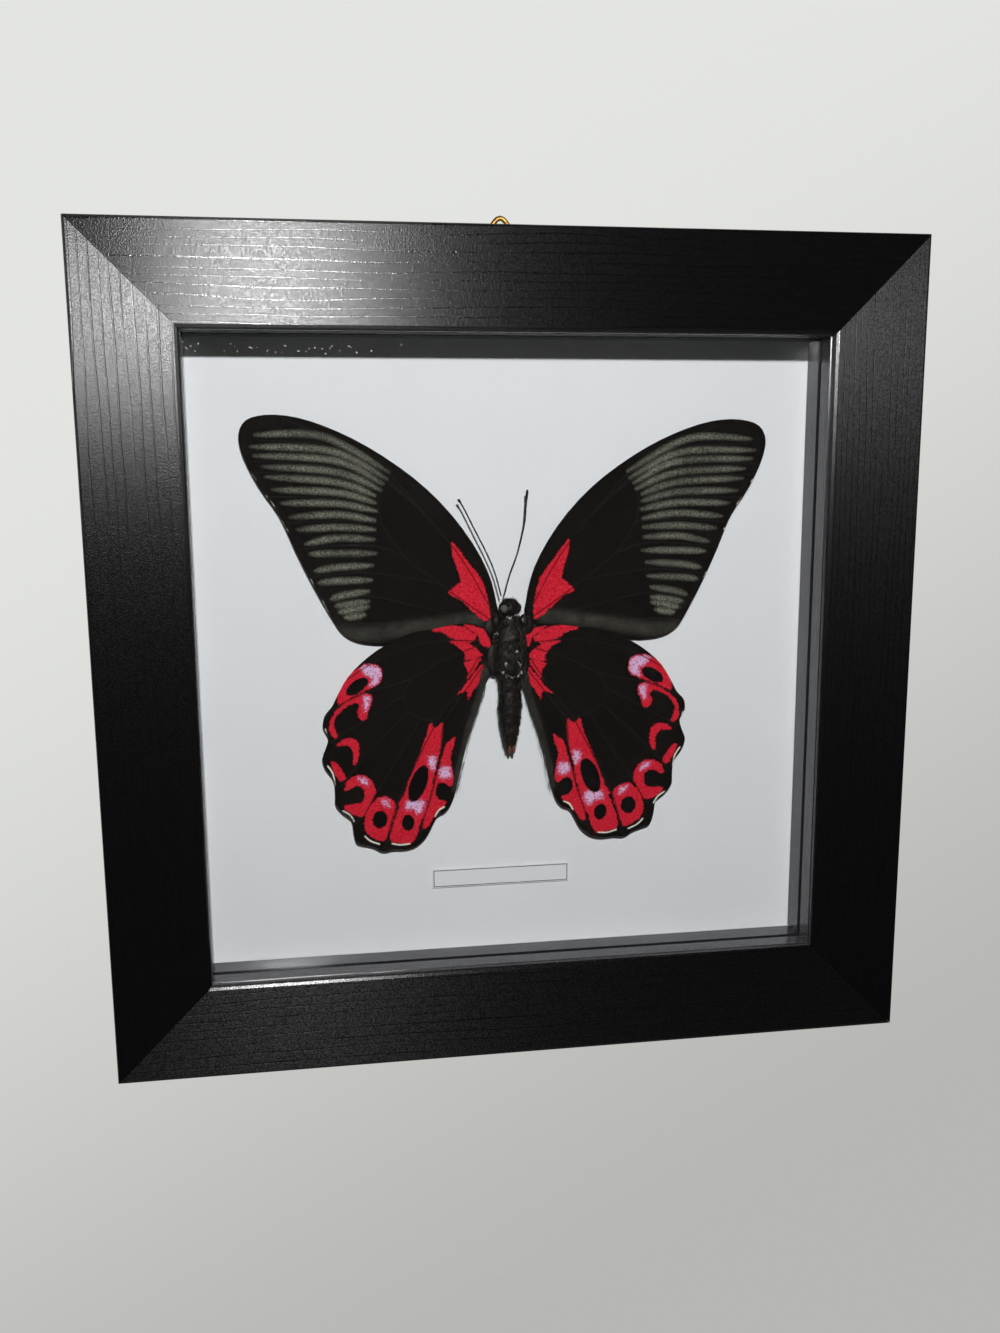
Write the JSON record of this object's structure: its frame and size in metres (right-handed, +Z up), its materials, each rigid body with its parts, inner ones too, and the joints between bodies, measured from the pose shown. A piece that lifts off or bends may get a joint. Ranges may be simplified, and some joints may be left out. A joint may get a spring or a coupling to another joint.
{
  "type": "framed butterfly specimen",
  "caption": "Square black wooden box frame with glass, holding a spread black and red butterfly seen from below on a white mount, with a wire hanging ring behind.",
  "frame": {"origin": "where the hanging ring rests on its nail: the middle of the inside of the ring's apex", "axes": "+Z up the wall, +Y into the wall, +X to the viewer's right; the glass faces -Y"},
  "size_m": [0.2, 0.0275, 0.2062],
  "materials": {
    "frame_wood": "satin",
    "spacer_strip": "gloss",
    "glass": "polished",
    "mount_board": "matte",
    "back_panel": "matte",
    "label_paper": "matte",
    "brass": "satin",
    "steel": "satin",
    "insect_wing": "satin",
    "insect_body": "satin"
  },
  "bodies": {
    "frame": {"rail_top": "frame_wood", "back_point_top_a": "steel", "back_point_top_b": "steel", "rail_right": "frame_wood", "back_point_right_a": "steel", "back_point_right_b": "steel", "rail_bottom": "frame_wood", "back_point_bottom_a": "steel", "back_point_bottom_b": "steel", "rail_left": "frame_wood", "back_point_left_a": "steel", "back_point_left_b": "steel", "glass_pane": "glass", "spacer_top": "spacer_strip", "spacer_bottom": "spacer_strip", "spacer_left": "spacer_strip", "spacer_right": "spacer_strip", "mount_board": "mount_board", "back_panel": "back_panel", "label_card": "label_paper", "hanger_strap": "brass", "hanger_screw": "steel", "butterfly_body": "insect_body", "forewing_left": "insect_wing", "hindwing_left": "insect_wing", "antenna_left": "insect_body", "forewing_right": "insect_wing", "hindwing_right": "insect_wing", "antenna_right": "insect_body"},
    "ring": {"hanging_ring": "brass"}
  },
  "joints": [
    {"name": "ring_swing", "type": "hinge", "parent": "frame", "child": "ring", "pos_m": [0, 0, -0.00855], "axis": [1, 0, 0], "range_deg": [-175, 10]}
  ]
}
